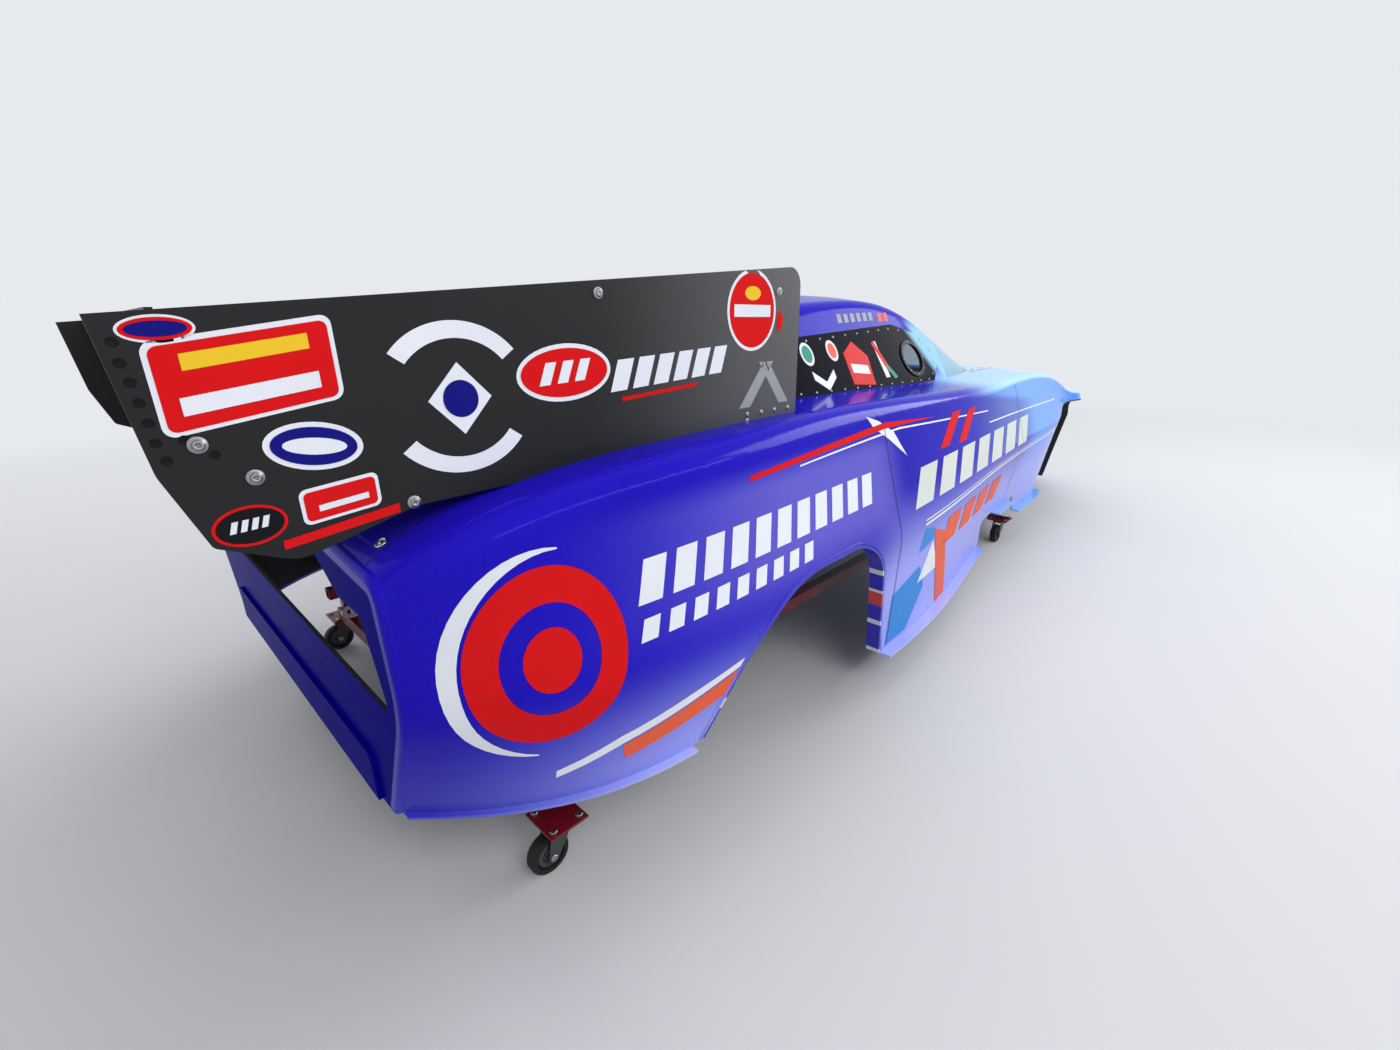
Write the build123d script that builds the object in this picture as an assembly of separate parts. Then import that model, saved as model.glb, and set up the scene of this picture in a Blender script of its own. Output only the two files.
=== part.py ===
from build123d import *
import math
import os

# A drag racing coupe body of the flip-up kind: a hollow one-piece racing shell in moulded panels,
# with its windows, roof hatch, spill plates and spoiler, standing on its red shop cart with casters.
# Lengths are millimetres. X runs forward, Y to the car's left, Z up from the floor.
# "along" is a distance forward of the rear axle line, and save() moves it to the part's own origin.

os.makedirs("parts", exist_ok=True)

# Overall layout
wheelbase = 3175.0
front_overhang = 880.0
rear_overhang = 1223.0
overall_length = rear_overhang + wheelbase + front_overhang
rear_axle_x = rear_overhang - overall_length / 2

# Moulded skin
skin = 8.0
tail_round = 14.0
tail_rim = 30.0
foot_z = 100.0
crown_radius = 1500.0
deck_plan_foot = 700.0
hood_plan_foot = 500.0
roof_plan_foot = 1200.0

# Lower body
tail_along = -1000.0
rocker_z = 150.0
quarter_z = 300.0
skirt_z = 220.0
house_foot_z = 860.0

# Panel seams
quarter_seam = 500.0
door_seam = 1980.0
nose_seam = 3530.0
deck_half = 742.0
hood_half_rear = 590.0
hood_half_front = 480.0
cowl_along = 1900.0
injector_from = 2280.0
injector_to = 2740.0
injector_half = 190.0
injector_round = 60.0
bezel_width = 25.0

# Wheel openings in side view
rear_arch_foot = -450.0
rear_arch_back = -200.0
rear_arch_front = 370.0
rear_arch_toe = 480.0
rear_arch_top = 600.0
rear_arch_middle = 85.0
rear_arch_rounds = (450.0, 200.0)
front_arch_back = 2825.0
front_arch_front = 3520.0
front_arch_top = 728.0
front_arch_rounds = (230.0, 200.0)
lip_deep = 48.0
lip_thick = 8.0

# Flanges along the lower edges
rocker_flange = 40.0
rocker_start = 461.0
quarter_flange = 20.0
flange_thick = 8.0
flange_round = 32.0
rocker_end = 1715.0
notch_rear = 1610.0
header_rear = 1800.0
header_front = 2060.0
notch_front = 2170.0
skirt_rear = 2260.0
notch_z = 318.0
notch_round = 20.0

# Windows, in side view
shield_top = (1500.0, 1300.0)
shield_bulge = (1685.0, 1080.0)
shield_foot = (1590.0, 900.0)
shield_ahead = 2600.0
shield_base_z = 955.0
window_points = [(190, 985), (330, 1165), (1250, 1212), (1570, 1150), (1620, 1050), (1480, 958)]
window_rounds = [40, 30, 150, 90, 60, 60]
port_along = 1340.0
port_z = 1072.0
port_long = 105.0
port_tall = 74.0
port_rim = 15.0
port_proud = 5.0

# Spill plates and spoiler
plate_y = 776.0
plate_thick = 6.0
plate_front = 150.0
plate_points = [
    (plate_front, 962), (plate_front, 1361), (-rear_overhang, 1237), (-1202, 1048), (-1168, 946),
    (-1076, 902), (-905, 946),
]
plate_rounds = [4, 45, 0, 60, 12, 60, 60]
blade_front = -560.0
blade_foot_z = 1000.0
blade_rear = -1160.0
blade_rear_z = 1205.0
blade_thick = 10.0
wicker_thick = 8.0
wicker_height = 30.0
strut_radius = 8.0
strut_y = 450.0
strut_top_along = -1100.0
strut_foot = (-950.0, 890.0)

# Long opening in the tail, and the raised panel under it, seen from behind (across, height)
tail_points = [(-766, 583), (-708, 757), (-594, 757), (-497, 811)]
tail_rounds = [22, 18, 30, 40]
tail_panel_half = 598.0
tail_panel_top = 412.0
tail_panel_proud = 8.0
tail_panel_round = 24.0

# Roof hatch
hatch_rear = 800.0
hatch_front = 1330.0
hatch_half = 235.0
hatch_gap = 5.0
hinge_pin_radius = 4.0
hatch_round = 40.0
hinge_knuckle_radius = 8.0
hinge_clear = 0.3
knuckle_length = 30.0
knuckle_gap = 0.5
leaf_reach = 45.0
leaf_deep = 40.0
hinge_spread = 150.0

# Shop cart
cart_rear = -695.0
cart_front = 2330.0
caster_y = 745.0
wheel_radius = 50.0
wheel_width = 32.0
caster_trail = 33.0
caster_plate_z = 130.0
plate_steel = 6.0
beam_size = 50.0
rail_y = 650.0
rail_size = 40.0
rail_top = 295.0
rail_past_beam = 60.0
tube_wall = 3.0
beam_short = 33.0
cart_plate_long = 100.0
cart_plate_wide = 110.0
mount_tube_radius = 19.0
saddle_height = 20.0
saddle_long = 60.0

# Ears for the rear pivot
ear_y = 300.0
ear_thick = 12.0
ear_reach = 85.0
ear_hole_radius = 8.0
ear_round = 22.0

# Casters
run_gap = 0.3
axle_radius = 5.0
axle_past_leg = 6.0
king_radius = 6.0
king_past_crown = 10.0
king_nut_radius = 11.0
king_nut_high = 6.0
race_radius = 26.0
race_high = 6.0
top_plate_long = 92.0
top_plate_wide = 100.0
fork_plate = 4.0
fork_crown_long = 60.0
leg_gap = 3.0
leg_end = 13.0
leg_below_axle = 14.0
leg_end_round = 11.0
hub_radius = 14.0
disc_radius = 34.0
disc_dish = 7.0
hub_dish = 4.0
tread_foot_radius = 36.0
tread_round = (4.0, 6.0)

# Section tables. Columns: along, foot half-width, waist half-width, waist height,
# shoulder half-width, shoulder height, crown height, waist radius, shoulder radius.
lower_sections = [
    (tail_along + tail_round, 558, 832, 600, 812, 850, 882, 240, 50),
    (-880, 691, 882, 580, 868, 905, 925, 250, 55),
    (-700, 848, 942, 560, 900, 950, 962, 260, 60),
    (-400, 932, 985, 530, 905, 974, 976, 260, 70),
    (200, 954, 988, 545, 868, 985, 988, 220, 70),
    (900, 943, 962, 585, 855, 968, 992, 120, 60),
    (1600, 840, 915, 630, 830, 950, 985, 80, 50),
    (2250, 800, 888, 655, 795, 960, 984, 60, 45),
    (2840, 740, 848, 672, 796, 900, 918, 60, 40),
    (3320, 715, 852, 700, 820, 792, 808, 50, 30),
]
nose_sections = [
    (3320, 715, 852, 700, 820, 792, 808, 50, 30),
    (3530, 640, 735, 600, 690, 722, 748, 60, 40),
    (3800, 590, 650, 480, 590, 590, 626, 60, 50),
    (4055, 360, 390, 300, 350, 395, 420, 60, 40),
]
house_sections = [
    (-260, 560, 560, 900, 480, 965, 975, 10, 30),
    (150, 610, 618, 965, 500, 1165, 1195, 30, 70),
    (520, 628, 636, 960, 475, 1270, 1302, 30, 80),
    (1000, 628, 636, 950, 455, 1300, 1332, 30, 80),
    (1350, 622, 632, 945, 458, 1272, 1305, 30, 80),
    (1650, 612, 622, 940, 480, 1170, 1208, 30, 75),
    (1950, 600, 606, 935, 520, 1030, 1066, 20, 60),
    (2230, 585, 588, 900, 540, 930, 950, 10, 30),
]


def cross_section(row, inset, foot):
    """The right half of one section across the car, in straight runs and tangent arcs."""
    along, foot_half, waist_half, waist_z, top_half, top_z, crown_z, waist_r, top_r = row
    corners = [
        (-(foot_half - inset), foot),
        (-(waist_half - inset), waist_z),
        (-(top_half - inset), top_z - inset),
        (-(top_half - inset) / 2, crown_z - inset),
        (0, crown_z - inset),
    ]
    waist_round = max(waist_r - inset, 4)
    top_round = max(top_r - inset, 4)
    rim = FilletPolyline(*corners, radius=[waist_round, top_round, crown_radius])
    outline = rim + Polyline(corners[-1], (0, foot), corners[0])
    plane = Plane(origin=(along, 0, 0), x_dir=(0, 1, 0), z_dir=(1, 0, 0))
    return plane * make_face(outline)


def hull(sections, inset, foot):
    """A closed solid through the sections, each drawn in by inset."""
    return loft([cross_section(row, inset, foot) for row in sections])


def drawn_back(sections, amount):
    """The same sections with the last one moved back, so that the front end keeps a wall."""
    last = sections[-1]
    return sections[:-1] + [(last[0] - amount, *last[1:])]


def rounded(points, radii):
    """A flat face with straight sides and one corner radius for each point."""
    face = make_face(Polyline(*points, close=True))
    for point, radius in zip(points, radii):
        corner = face.vertices().sort_by_distance((*point, 0))[0]
        face = fillet(corner, radius) if radius else face
    return face


def side_prism(face, y_from, y_to):
    """A prism across the car from a face drawn in side view (along, height)."""
    return Pos(0, y_to, 0) * extrude(Plane.XZ * face, amount=y_to - y_from, dir=(0, -1, 0))


def plan_prism(face, z_from, z_to):
    """An upright prism from a face drawn in plan (along, across)."""
    return Pos(0, 0, z_from) * extrude(face, amount=z_to - z_from, dir=(0, 0, 1))


def block(x_from, x_to, y_from, y_to, z_from, z_to):
    """A box between two corners."""
    size = (x_to - x_from, y_to - y_from, z_to - z_from)
    middle = ((x_from + x_to) / 2, (y_from + y_to) / 2, (z_from + z_to) / 2)
    return Pos(*middle) * Box(*size)


def left_of(shape):
    """The mirror image on the car's left side."""
    return mirror(shape, about=Plane.XZ)


def save(name, *shapes):
    """Write one node, moved from the rear axle line to the part's origin."""
    solids = []
    for shape in shapes:
        solids.extend((Pos(rear_axle_x, 0, 0) * shape).solids())
    solids = [solid for solid in solids if solid.volume > 50]
    export_step(Compound(children=solids) if len(solids) > 1 else solids[0], f"parts/{name}.step")


# Outer and inner forms
tail_row = lower_sections[0]
tail_rounding = [(tail_along + step * tail_round, step) for step in (0.0, 0.3, 1.0)]
tail_cap_rows = []
for along, step in tail_rounding:
    drawn_in = tail_round * (1 - math.sqrt(1 - (1 - step) ** 2))
    tail_cap_rows.append(cross_section((along, *tail_row[1:]), drawn_in, foot_z))
tail_cap = loft(tail_cap_rows)
body_outer = hull(lower_sections, 0, foot_z) + tail_cap
body_inner = hull(lower_sections, skin, foot_z - 20)
nose_outer = hull(nose_sections, 0, foot_z)
nose_inner = hull(drawn_back(nose_sections, skin), skin, foot_z - 20)
house_outer = hull(house_sections, 0, house_foot_z)
house_inner = hull(house_sections, skin, house_foot_z - 20)

far = 3000.0
below_quarter = block(tail_along - 50, rear_arch_middle, -far, far, 0, quarter_z)
below_rocker = block(rear_arch_middle, notch_rear, -far, far, 0, rocker_z)
below_skirt = block(skirt_rear, wheelbase, -far, far, 0, skirt_z)
below_nose = block(wheelbase, far * 2, -far, far, 0, rocker_z)


def rear_arch_outline(grow):
    """The rear wheel opening in side view, grown outwards."""
    points = [
        (rear_arch_foot - grow, quarter_z - 50),
        (rear_arch_back - grow / 2, rear_arch_top + grow),
        (rear_arch_front + grow / 2, rear_arch_top + grow),
        (rear_arch_toe + grow, 0),
    ]
    return rounded(points, [0, rear_arch_rounds[0] + grow, rear_arch_rounds[1] + grow, 0])


def front_arch_outline(grow):
    """The front wheel opening in side view, grown outwards."""
    points = [
        (front_arch_back - grow, 0),
        (front_arch_back - grow, front_arch_top + grow),
        (front_arch_front + grow, front_arch_top + grow),
        (front_arch_front + grow, 0),
    ]
    return rounded(points, [0, front_arch_rounds[0] + grow, front_arch_rounds[1] + grow, 0])


notch_outline = [
    (notch_rear - 1, 0), (notch_rear - 1, rocker_z), (rocker_end, rocker_z), (notch_rear, notch_z),
    (notch_front, notch_z), (skirt_rear + 1, skirt_z), (skirt_rear + 1, 0),
]
notch = side_prism(rounded(notch_outline, [0, 0, 0, notch_round, notch_round, 0, 0]), -far, far)
rear_arch = side_prism(rear_arch_outline(lip_thick), -far, far)
front_arch = side_prism(front_arch_outline(lip_thick), -far, far)
rear_arch_clear = side_prism(rear_arch_outline(0), -far, far)
front_arch_clear = side_prism(front_arch_outline(0), -far, far)

# Lower body skin of the right half, open below
body_skin = body_outer - body_inner - house_outer - rear_arch - front_arch
body_skin = body_skin - below_quarter - below_rocker - notch - below_skirt - below_nose
nose_skin = nose_outer - nose_inner - below_nose - front_arch


def whole(shape):
    """Both halves of a piece that runs across the middle."""
    return shape + left_of(shape)


# Top panels
deck_plan = block(tail_along - 1, plate_front, -deck_half, 1, deck_plan_foot, far)
hood_points = [(cowl_along, 1), (cowl_along, -hood_half_rear), (nose_seam, -hood_half_front), (nose_seam, 1)]
hood_plan = plan_prism(rounded(hood_points, [0, 0, 0, 0]), hood_plan_foot, far)
injector_place = Pos((injector_from + injector_to) / 2, 0)
injector_length = injector_to - injector_from
injector_width = 2 * injector_half
hole_face = RectangleRounded(injector_length, injector_width, injector_round)
rim_face = RectangleRounded(injector_length + 2 * bezel_width, injector_width + 2 * bezel_width,
                            injector_round + bezel_width)
injector_hole = plan_prism(injector_place * hole_face, hood_plan_foot, far)
injector_rim = plan_prism(injector_place * rim_face, hood_plan_foot, far)
tail_plane = Plane(origin=(tail_along, 0, 0), x_dir=(0, 1, 0), z_dir=(1, 0, 0))
tail_inset = cross_section((tail_along - 5, *tail_row[1:]), tail_rim, foot_z)
tail_wall = body_skin & extrude(tail_inset, amount=5 + skin, dir=(1, 0, 0))
body_skin = body_skin - extrude(tail_inset, amount=5 + tail_round + 1, dir=(1, 0, 0))
rear_deck = body_skin & deck_plan
hood_back = body_skin & hood_plan
hood_tip = nose_skin & hood_plan
hood_panel = (hood_back + hood_tip) - injector_rim
injector_bezel = (hood_back & injector_rim) - injector_hole

# Side panels
side_skin = body_skin - deck_plan - hood_plan
quarter_right = side_skin & block(tail_along - 1, quarter_seam, -far, 1, 0, far)
door_right = side_skin & block(quarter_seam, door_seam, -far, 1, 0, far)
fender_back = side_skin & block(door_seam, wheelbase + 200, -far, 1, 0, far)
fender_tip = nose_skin - hood_plan - block(nose_seam, far * 2, -far, far, 0, far)
nose_half = nose_skin & block(nose_seam, far * 2, -far, far, 0, far)

# Return lips of the wheel openings
lip_inner = hull(lower_sections, lip_deep, foot_z - 20)
nose_lip_inner = hull(nose_sections, lip_deep, foot_z - 20)
rear_lip = ((rear_arch - rear_arch_clear) & body_outer) - lip_inner - below_quarter - below_rocker
low_ends = below_skirt + below_nose
front_band = front_arch - front_arch_clear
front_lip = ((front_band & body_outer) - lip_inner) + ((front_band & nose_outer) - nose_lip_inner) - low_ends

# Flanges along the lower edges
rocker_band = hull(lower_sections, -rocker_flange, foot_z) - body_inner
quarter_band = hull(lower_sections, -quarter_flange, foot_z) - body_inner


def flange(band, x_from, x_to, top):
    """A level strip of the band that stands out under the body's side."""
    return band & block(x_from, x_to, -far, 0, top - flange_thick, top)


def end_rounded(strip, along):
    """The strip with its outer corner at one end rounded in plan."""
    at_end = [edge for edge in strip.edges() if abs(edge.center().X - along) < 1]
    upright = [edge for edge in at_end if edge.length < flange_thick * 1.6]
    outer = min(upright, key=lambda edge: edge.center().Y)
    return fillet(outer, flange_round)


rocker_lip = end_rounded(flange(rocker_band, rocker_start, rocker_end, rocker_z), rocker_end)
header_lip = flange(rocker_band, header_rear, header_front, notch_z)
skirt_lip = flange(rocker_band, skirt_rear, front_arch_back - lip_thick, skirt_z)
quarter_lip = flange(quarter_band, tail_along + tail_round, rear_arch_foot, quarter_z)

# Greenhouse: roof, windshield and side windows
house_skin = house_outer - house_inner - body_inner
shield_edge = ThreePointArc(shield_top, shield_bulge, shield_foot)
over_shield = shield_top[1] + 100
shield_corners = [
    shield_foot, (shield_ahead, shield_foot[1]), (shield_ahead, over_shield), (shield_top[0], over_shield),
    shield_top,
]
shield_outline = shield_edge + Polyline(*shield_corners)
shield_prism = side_prism(make_face(shield_outline), -far, far)
windshield = house_skin & shield_prism & block(0, far * 2, -far, far, shield_base_z, far)
window_prism = side_prism(rounded(window_points, window_rounds), -far, far)
window_right = house_skin & window_prism
roof_half = house_skin - windshield - window_right

# Port in each side window: a raised oval ring round a hole
port_place = Pos(port_along, port_z)
port_outer = extrude(Plane.XZ * port_place * Ellipse(port_long, port_tall), amount=far)
port_inner = extrude(Plane.XZ * port_place * Ellipse(port_long - port_rim, port_tall - port_rim), amount=far)
house_proud = hull(house_sections, -port_proud, house_foot_z)
window_pane = window_right - port_outer
port_ring = ((house_proud - house_inner) & port_outer) - port_inner

# Roof hatch with its hinge along the front edge
hatch_middle = (hatch_rear + hatch_front) / 2
hatch_length = hatch_front - hatch_rear
hatch_face = RectangleRounded(hatch_length, 2 * hatch_half, hatch_round)
lid_length, lid_width = hatch_length - 2 * hatch_gap, 2 * (hatch_half - hatch_gap)
lid_face = RectangleRounded(lid_length, lid_width, hatch_round - hatch_gap)
hatch_hole = plan_prism(Pos(hatch_middle, 0) * hatch_face, roof_plan_foot, far)
hatch_lid_plan = plan_prism(Pos(hatch_middle, 0) * lid_face, roof_plan_foot, far)
roof_whole = whole(roof_half)
hatch_lid = roof_whole & hatch_lid_plan
roof_panel = roof_whole - hatch_hole

# The hinge lies across the gap in front of the lid, just above the roof's skin there
hinge_along = hatch_front - hatch_gap / 2
hinge_plan = block(hinge_along - 1, hinge_along + 1, -10, 10, roof_plan_foot, far)
roof_over_hinge = (house_outer & hinge_plan).bounding_box().max.Z
hinge_z = roof_over_hinge + hinge_knuckle_radius + hinge_clear + 1
house_solid = whole(house_outer)
knuckle_half = knuckle_length / 2


def knuckle(middle_y, reach, bored):
    """A hinge barrel with its leaf, which lies on the skin to the front (+) or the rear (-)."""
    turned = Pos(hinge_along, middle_y, hinge_z) * Rot(90, 0, 0)
    x_from = hinge_along + min(reach, 0)
    x_to = hinge_along + max(reach, 0)
    leaf = block(x_from, x_to, middle_y - knuckle_half, middle_y + knuckle_half, hinge_z - leaf_deep, hinge_z)
    shape = turned * Cylinder(hinge_knuckle_radius, knuckle_length) + (leaf - house_solid)
    if bored:
        shape = shape - turned * Cylinder(hinge_pin_radius + hinge_clear, knuckle_length * 3)
    return shape


hinge_parts = []
lid_parts = []
for hinge_side in (-1, 1):
    middle_y = hinge_side * hinge_spread
    lid_parts.append(knuckle(middle_y, -leaf_reach, True))
    pin = Cylinder(hinge_pin_radius, 2 * knuckle_length)
    fixed = Pos(hinge_along, middle_y, hinge_z) * Rot(90, 0, 0) * pin
    for end in (-1, 1):
        fixed = fixed + knuckle(middle_y + end * (knuckle_length + knuckle_gap), leaf_reach, False)
    hinge_parts.append(fixed)
for lid_part in lid_parts:
    hatch_lid = hatch_lid + lid_part

# Spill plates, with their flat outer faces upright
plate_face = rounded(plate_points, plate_rounds)
plate_right = side_prism(plate_face, -plate_y - plate_thick, -plate_y) - body_outer

# Spoiler between the plates, with an upright strip along its rear edge
blade_line = [(blade_front, blade_foot_z), (blade_front, blade_foot_z + blade_thick),
              (blade_rear, blade_rear_z + blade_thick), (blade_rear, blade_rear_z)]
spoiler_blade = side_prism(rounded(blade_line, [0, 0, 0, 0]), -plate_y, plate_y)
wicker_top = blade_rear_z + blade_thick + wicker_height
wicker = block(blade_rear - wicker_thick, blade_rear, -plate_y, plate_y, blade_rear_z, wicker_top)

# Tail panel with its long opening and the raised panel under it
opening_half = [*tail_points, *[(-across, height) for across, height in reversed(tail_points)]]
opening_face = rounded(opening_half, tail_rounds + tail_rounds[::-1])
tail_opening = extrude(tail_plane * opening_face, amount=4 * skin, both=True)
raised_face = rounded([(0, quarter_z), (0, tail_panel_top), (-tail_panel_half, tail_panel_top),
                       (-tail_panel_half, quarter_z)], [0, 0, tail_panel_round, 0])
raised_panel = extrude(tail_plane * raised_face, amount=tail_panel_proud, dir=(-1, 0, 0))
tail_half = (tail_wall - tail_opening) + raised_panel

# Struts under the spoiler, from the deck
blade_slope = (blade_rear_z - blade_foot_z) / (blade_front - blade_rear)
strut_top_z = blade_foot_z + (blade_front - strut_top_along) * blade_slope + blade_thick / 2
struts = []
for across in (-strut_y, strut_y):
    top = Vector(strut_top_along, across, strut_top_z)
    foot = Vector(strut_foot[0], across, strut_foot[1])
    run = Plane(origin=foot, z_dir=top - foot)
    strut = extrude(run * Circle(strut_radius), amount=(top - foot).length)
    struts.append(strut - whole(body_outer) - spoiler_blade)

# Tubes across the inside that the cart carries
mount_z = rail_top + saddle_height + mount_tube_radius
mount_tubes = {}
for mount_name, mount_along in (("rear", cart_rear), ("front", cart_front)):
    axis = Plane(origin=(mount_along, 0, mount_z), x_dir=(1, 0, 0), z_dir=(0, -1, 0))
    mount_tubes[mount_name] = extrude(axis * Circle(mount_tube_radius), amount=far) & body_inner

# Ears on the rear tube, where the car's own chassis takes the body's rear pivot
ears = []
ear_end = cart_rear - ear_reach - ear_round
for side in (-1, 1):
    ear_points = [(cart_rear, mount_z + ear_round), (ear_end, mount_z + ear_round),
                  (ear_end, mount_z - ear_round), (cart_rear, mount_z - ear_round)]
    ear = side_prism(rounded(ear_points, [0, ear_round - 1, ear_round - 1, 0]),
                     side * ear_y - ear_thick / 2, side * ear_y + ear_thick / 2)
    bore = Pos(cart_rear - ear_reach, side * ear_y, mount_z) * Rot(90, 0, 0) * Cylinder(ear_hole_radius, 100)
    tube_space = Pos(cart_rear, side * ear_y, mount_z) * Rot(90, 0, 0) * Cylinder(mount_tube_radius, 100)
    ears.append(ear - bore - tube_space)

# Shop cart: rails, posts, cross beams and saddles, one side
beam_foot = caster_plate_z + plate_steel
beam_top = beam_foot + beam_size
rail_bottom = rail_top - rail_size


def square_tube(x_from, x_to, y_from, y_to, z_from, z_to, axis):
    """A hollow square tube along one axis, open at both ends."""
    outer = block(x_from, x_to, y_from, y_to, z_from, z_to)
    x_in, y_in, z_in = [-tube_wall if name == axis else tube_wall for name in "xyz"]
    inner = block(x_from + x_in, x_to - x_in, y_from + y_in, y_to - y_in, z_from + z_in, z_to - z_in)
    return outer - inner


half_beam = beam_size / 2
half_rail = rail_size / 2
beam_end = caster_y - beam_short
rail_right = square_tube(cart_rear - rail_past_beam, cart_front + rail_past_beam, -rail_y - half_rail,
                         -rail_y + half_rail, rail_bottom, rail_top, "x")
cart_rails = [rail_right, left_of(rail_right)]
cart_beams = []
cart_posts = []
cart_saddles = []
cart_plates = []
for beam_along in (cart_rear, cart_front):
    cart_beams.append(square_tube(beam_along - half_beam, beam_along + half_beam, -beam_end, beam_end,
                                  beam_foot, beam_top, "y"))
    for side in (-1, 1):
        post_y = side * rail_y
        cart_posts.append(square_tube(beam_along - half_rail, beam_along + half_rail, post_y - half_rail,
                                      post_y + half_rail, beam_top, rail_bottom, "z"))
        plate_middle = Pos(beam_along, side * caster_y, caster_plate_z + plate_steel / 2)
        cart_plates.append(plate_middle * Box(cart_plate_long, cart_plate_wide, plate_steel))
        saddle = block(beam_along - saddle_long / 2, beam_along + saddle_long / 2, post_y - half_rail,
                       post_y + half_rail, rail_top, mount_z)
        saddle_cut = Pos(beam_along, post_y, mount_z) * Rot(90, 0, 0) * Cylinder(mount_tube_radius, 100)
        cart_saddles.append(saddle - saddle_cut)

# Casters, each modelled about its own king pin
caster_top = caster_plate_z
race_top = caster_top - plate_steel
race_foot = race_top - race_high
crown_top = race_foot - run_gap
crown_foot = crown_top - fork_plate
leg_inner = wheel_width / 2 + leg_gap
leg_outer = leg_inner + fork_plate
axle_x = -caster_trail
half_crown = fork_crown_long / 2


def caster_top_plate():
    """The fixed top plate with its race, king pin and nut."""
    plate = Pos(0, 0, caster_top - plate_steel / 2) * Box(top_plate_long, top_plate_wide, plate_steel)
    race = Pos(0, 0, race_top - race_high / 2) * Cylinder(race_radius, race_high)
    pin_length = race_foot - crown_foot + king_past_crown
    pin = Pos(0, 0, race_foot - pin_length / 2) * Cylinder(king_radius, pin_length)
    nut = Pos(0, 0, crown_foot - run_gap - king_nut_high / 2) * Cylinder(king_nut_radius, king_nut_high)
    return plate + race + pin + nut


def caster_fork():
    """The fork: a crown plate round the king pin, two legs and the axle."""
    crown = Pos(0, 0, (crown_top + crown_foot) / 2) * Box(fork_crown_long, 2 * leg_outer, fork_plate)
    crown = crown - Cylinder(king_radius + run_gap, 2 * crown_top + fork_plate)
    leg_foot = wheel_radius - leg_below_axle
    leg_points = [(-half_crown, crown_top), (half_crown, crown_top), (axle_x + leg_end, leg_foot),
                  (axle_x - leg_end, leg_foot)]
    leg_face = rounded(leg_points, [0, 0, leg_end_round, leg_end_round])
    leg = side_prism(leg_face, leg_inner, leg_outer)
    axle = Cylinder(axle_radius, 2 * (leg_outer + axle_past_leg))
    return crown + leg + left_of(leg) + Pos(axle_x, 0, wheel_radius) * Rot(90, 0, 0) * axle


def caster_wheel():
    """The wheel: a hub that fills the fork, dished discs and a round-edged tread."""
    half = wheel_width / 2
    bore = axle_radius + run_gap
    hub_half = half + leg_gap - run_gap
    tread_flat, tread_side = wheel_radius - tread_round[0], half - tread_round[1]
    half_profile = [(bore, hub_half), (hub_radius, hub_half), (hub_radius, half - hub_dish),
                    (disc_radius, half - disc_dish), (tread_foot_radius, half), (tread_flat, half),
                    (wheel_radius, tread_side)]
    profile = [(radius, -across) for radius, across in half_profile] + half_profile[::-1]
    wheel = revolve(make_face(Polyline(*profile, close=True)), Axis.Y)
    return Pos(axle_x, 0, wheel_radius) * wheel


top_plate = caster_top_plate()
fork = caster_fork()
wheel = caster_wheel()
caster_tops = []
for end_name, caster_along in (("rear", cart_rear), ("front", cart_front)):
    for side_name, side in (("right", -1), ("left", 1)):
        spot = Pos(caster_along, side * caster_y, 0)
        caster_tops.append(spot * top_plate)
        save(f"caster_fork_{end_name}_{side_name}", spot * fork)
        save(f"caster_wheel_{end_name}_{side_name}", spot * wheel)

pairs = {
    "quarter": [quarter_right], "door": [door_right], "fender": [fender_back + fender_tip],
    "rear_arch_lip": [rear_lip], "front_arch_lip": [front_lip],
    "sill_flange": [rocker_lip, header_lip, skirt_lip, quarter_lip], "side_window": [window_pane],
    "window_port": [port_ring], "spill_plate": [plate_right],
}
singles = {
    "hood_panel": [whole(hood_panel)], "rear_deck": [whole(rear_deck)],
    "injector_bezel": [whole(injector_bezel)], "nose_panel": [whole(nose_half)],
    "windshield": [whole(windshield)], "roof_panel": [roof_panel], "roof_hatch": [hatch_lid],
    "hatch_hinges": hinge_parts,
    "tail_panel": [whole(tail_half)], "spoiler_blade": [spoiler_blade + wicker], "spoiler_struts": struts,
    "mount_tube_rear": [whole(mount_tubes["rear"])], "mount_tube_front": [whole(mount_tubes["front"])],
    "pivot_ears": ears,
    "cart_rails": cart_rails, "cart_beams": cart_beams, "cart_posts": cart_posts,
    "cart_plates": cart_plates, "cart_saddles": cart_saddles, "caster_plates": caster_tops,
}
for name, shapes in pairs.items():
    save(f"{name}_right", *shapes)
    save(f"{name}_left", *[left_of(shape) for shape in shapes])
for name, shapes in singles.items():
    save(name, *shapes)
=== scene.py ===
import math

import bmesh
import bpy
from mathutils import Matrix, Vector
from mathutils.bvhtree import BVHTree


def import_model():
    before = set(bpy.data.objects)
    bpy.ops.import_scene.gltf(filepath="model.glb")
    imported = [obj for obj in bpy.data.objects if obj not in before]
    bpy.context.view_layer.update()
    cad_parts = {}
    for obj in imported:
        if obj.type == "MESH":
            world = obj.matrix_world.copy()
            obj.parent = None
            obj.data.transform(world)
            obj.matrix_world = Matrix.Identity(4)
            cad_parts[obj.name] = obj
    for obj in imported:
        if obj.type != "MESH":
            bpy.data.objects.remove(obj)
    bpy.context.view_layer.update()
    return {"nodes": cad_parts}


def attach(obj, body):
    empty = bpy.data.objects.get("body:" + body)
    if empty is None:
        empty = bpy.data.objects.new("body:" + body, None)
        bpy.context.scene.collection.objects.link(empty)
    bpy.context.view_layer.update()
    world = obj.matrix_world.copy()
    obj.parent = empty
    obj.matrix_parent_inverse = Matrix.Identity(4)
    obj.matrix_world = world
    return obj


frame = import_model()
nodes = frame["nodes"]

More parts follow.
